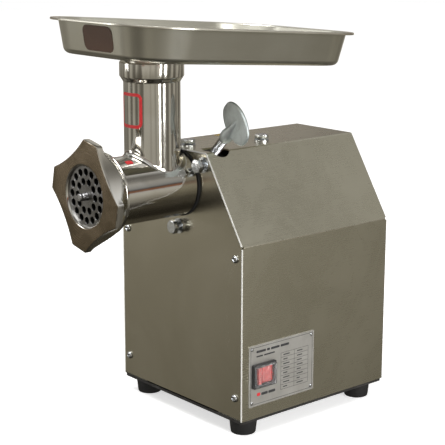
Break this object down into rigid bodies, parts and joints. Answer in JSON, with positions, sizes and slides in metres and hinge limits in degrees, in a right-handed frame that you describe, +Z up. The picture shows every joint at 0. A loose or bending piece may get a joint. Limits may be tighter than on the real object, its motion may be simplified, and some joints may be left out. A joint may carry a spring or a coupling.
{
  "type": "electric meat grinder",
  "caption": "Bench-top electric meat grinder: folded steel cabinet on rubber feet, polished head with feed tube, lobed ring nut, wing clamp screw, rocker switch and a wide feed tray.",
  "frame": {"origin": "on the floor, under the middle of the machine's overall box", "axes": "+Z up, the front panel and the grinding head face -Y, +X is the switch side"},
  "size_m": [0.2075, 0.347, 0.4257],
  "materials": {
    "cabinet_steel": "brushed stainless sheet",
    "polished_steel": "polished stainless",
    "tray_steel": "satin stainless sheet",
    "ring_steel": "machined face, polished sides",
    "plate_steel": "ground tool steel",
    "zinc_steel": "bright zinc plating",
    "wing_zinc": "dull zinc plating",
    "base_paint": "black satin paint",
    "rubber": "moulded black rubber",
    "nameplate_print": "printed aluminium foil plate",
    "black_plastic": "black moulded nylon",
    "red_plastic": "translucent red rocker",
    "clear_plastic": "soft clear splash cover",
    "cast_aluminium": "sand cast, machined faces",
    "machine_steel": "turned and ground",
    "laminations": "stacked electrical sheet",
    "copper": "enamelled copper windings",
    "bronze": "sintered bronze",
    "grey_plastic": "grey moulded plastic"
  },
  "bodies": {
    "cabinet": {"housing_wrap": "cabinet_steel", "front_panel": "cabinet_steel", "back_panel": "cabinet_steel", "base_plate": "base_paint", "feet": "rubber", "foot_screws": "zinc_steel", "foot_nuts": "zinc_steel", "front_panel_screws": "zinc_steel", "back_panel_screws": "zinc_steel", "gasket_ring": "rubber", "flange_bolts": "zinc_steel", "flange_washers": "zinc_steel", "top_bolts": "zinc_steel", "top_washers": "zinc_steel", "gearbox_case": "cast_aluminium", "shaft_seal": "rubber", "spindle_bearings": "machine_steel", "bearing_carrier": "cast_aluminium", "gearbox_cover": "cast_aluminium", "gearbox_cover_screws": "zinc_steel", "middle_bushes": "bronze", "motor_bearings": "machine_steel", "stator_core": "laminations", "windings": "copper", "motor_shell": "base_paint", "motor_end_shield": "cast_aluminium", "motor_cradle": "machine_steel", "cradle_screws": "zinc_steel", "capacitor": "grey_plastic", "capacitor_clip": "zinc_steel", "nameplate": "nameplate_print", "nameplate_rivets": "zinc_steel", "switch_body": "black_plastic", "switch_cover": "clear_plastic", "cable_gland": "black_plastic", "gland_cap": "black_plastic", "gland_nut": "black_plastic"},
    "spindle": {"spindle": "machine_steel", "output_gear": "machine_steel"},
    "middle_shaft": {"middle_pinion": "machine_steel", "middle_gear": "machine_steel"},
    "rotor": {"motor_shaft": "machine_steel", "rotor_core": "laminations", "cooling_fan": "black_plastic"},
    "head": {"head_body": "polished_steel", "plate_pin": "machine_steel", "neck_bush": "bronze"},
    "auger": {"auger": "tray_steel", "auger_pin": "machine_steel", "knife": "plate_steel"},
    "plate": {"plate": "plate_steel"},
    "ring_nut": {"ring_nut": "ring_steel"},
    "tray": {"tray": "tray_steel"},
    "wing_screw": {"wing_screw": "wing_zinc"},
    "rocker": {"switch_rocker": "red_plastic"}
  },
  "joints": [
    {"name": "spindle_spin", "type": "hinge", "parent": "cabinet", "child": "spindle", "pos_m": [0, 0, 0.255], "axis": [0, 1, 0], "continuous": true},
    {"name": "middle_spin", "type": "hinge", "parent": "cabinet", "child": "middle_shaft", "pos_m": [0, 0, 0.217], "axis": [0, 1, 0], "continuous": true},
    {"name": "rotor_spin", "type": "hinge", "parent": "cabinet", "child": "rotor", "pos_m": [0, 0, 0.167], "axis": [0, 1, 0], "continuous": true},
    {"name": "head_pull", "type": "slide", "parent": "cabinet", "child": "head", "axis": [0, -1, 0], "range_m": [0, 0.065]},
    {"name": "auger_spin", "type": "hinge", "parent": "head", "child": "auger", "pos_m": [0, 0, 0.255], "axis": [0, 1, 0], "continuous": true},
    {"name": "plate_slide", "type": "slide", "parent": "head", "child": "plate", "axis": [0, -1, 0], "range_m": [0, 0.012]},
    {"name": "ring_turn", "type": "hinge", "parent": "plate", "child": "ring_nut", "pos_m": [0, 0, 0.255], "axis": [0, -1, 0], "range_deg": [0, 1440]},
    {"name": "tray_lift", "type": "slide", "parent": "head", "child": "tray", "axis": [0, 0, 1], "range_m": [0, 0.05]},
    {"name": "wing_turn", "type": "hinge", "parent": "cabinet", "child": "wing_screw", "pos_m": [0, -0.028, 0.255], "axis": [0.7071, 0, 0.7071], "range_deg": [0, 720]},
    {"name": "rocker_tilt", "type": "hinge", "parent": "cabinet", "child": "rocker", "pos_m": [0.0978, -0.0194, 0.066], "axis": [0, 0, -1], "range_deg": [0, 18]}
  ],
  "couplings": [
    {"joint": "middle_spin", "follows": "spindle_spin", "ratio": -2.1667},
    {"joint": "rotor_spin", "follows": "spindle_spin", "ratio": 8.6667},
    {"joint": "auger_spin", "follows": "spindle_spin", "ratio": 1},
    {"joint": "plate_slide", "follows": "ring_turn", "m_per_rad": 0.00047746}
  ]
}
